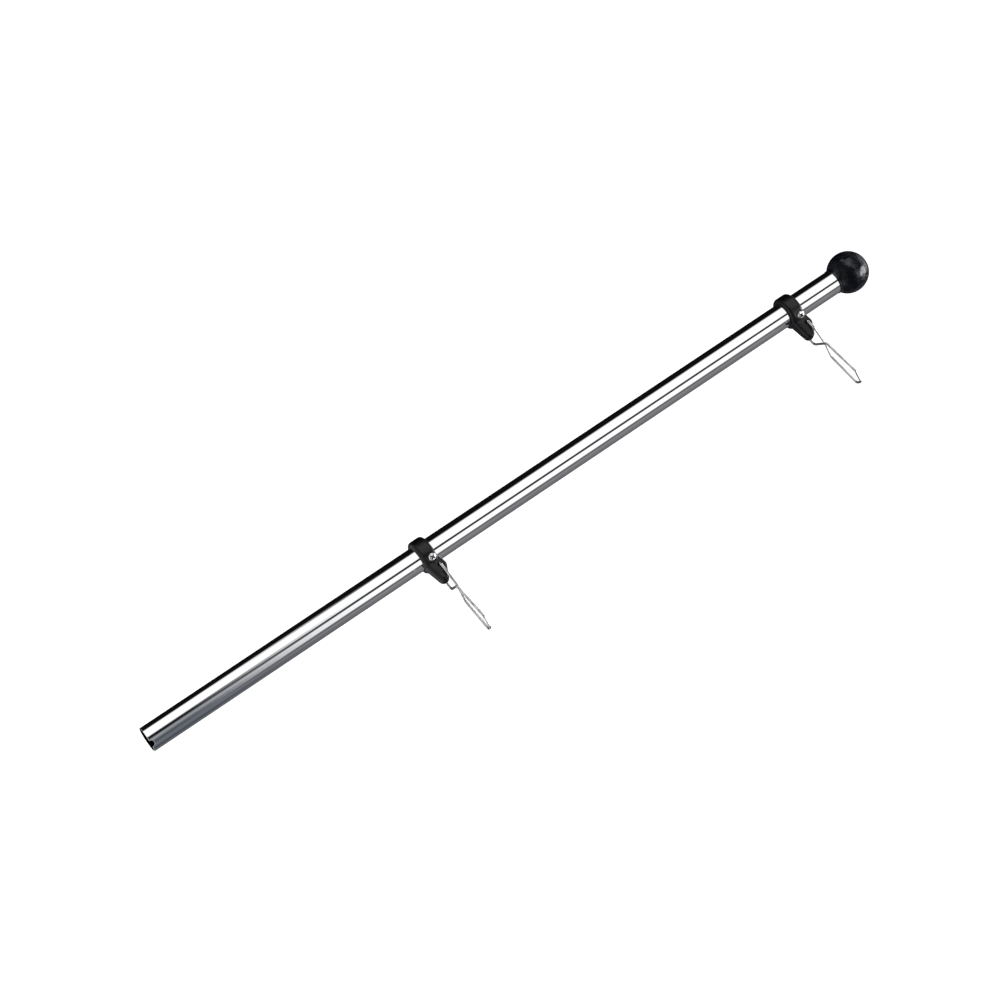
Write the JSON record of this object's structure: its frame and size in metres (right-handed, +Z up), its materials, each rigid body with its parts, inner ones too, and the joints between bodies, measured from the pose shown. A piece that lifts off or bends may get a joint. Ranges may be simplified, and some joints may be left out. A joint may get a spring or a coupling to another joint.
{
  "type": "marine flagpole",
  "caption": "Polished tube flagpole with a ball top and sliding nylon collars that carry wire snaps for a flag.",
  "frame": {"origin": "centre of the tube's butt end", "axes": "+Z up the pole to the ball, +X to the side of the upper collar's lug, where the flag flies"},
  "size_m": [0.109, 0.0448, 0.762],
  "materials": {
    "polished_steel": "mirror-polished stainless steel",
    "gloss_black": "glossy moulded plastic",
    "black_nylon": "satin moulded nylon",
    "screw_steel": "bright stainless steel",
    "wire_steel": "polished spring wire"
  },
  "bodies": {
    "pole": {"pole_tube": "polished_steel", "ball_finial": "gloss_black"},
    "lower_collar": {"lower_collar": "black_nylon", "lower_collar_screw": "screw_steel"},
    "lower_snap": {"lower_snap": "wire_steel"},
    "upper_collar": {"upper_collar": "black_nylon", "upper_collar_screw": "screw_steel"},
    "upper_snap": {"upper_snap": "wire_steel"}
  },
  "joints": [
    {"name": "lower_collar_slide", "type": "slide", "parent": "pole", "child": "lower_collar", "axis": [0, 0, 1], "range_m": [-0.15, 0.1]},
    {"name": "lower_snap_swing", "type": "hinge", "parent": "lower_collar", "child": "lower_snap", "pos_m": [0.01793, -0.00414, 0.2778], "axis": [-0.225, -0.9744, 0], "range_deg": [-89, 91]},
    {"name": "upper_collar_slide", "type": "slide", "parent": "pole", "child": "upper_collar", "axis": [0, 0, 1], "range_m": [-0.12, 0.02]},
    {"name": "upper_snap_swing", "type": "hinge", "parent": "upper_collar", "child": "upper_snap", "pos_m": [0.0184, 0, 0.6778], "axis": [0, -1, 0], "range_deg": [-94.5, 75.5]}
  ]
}
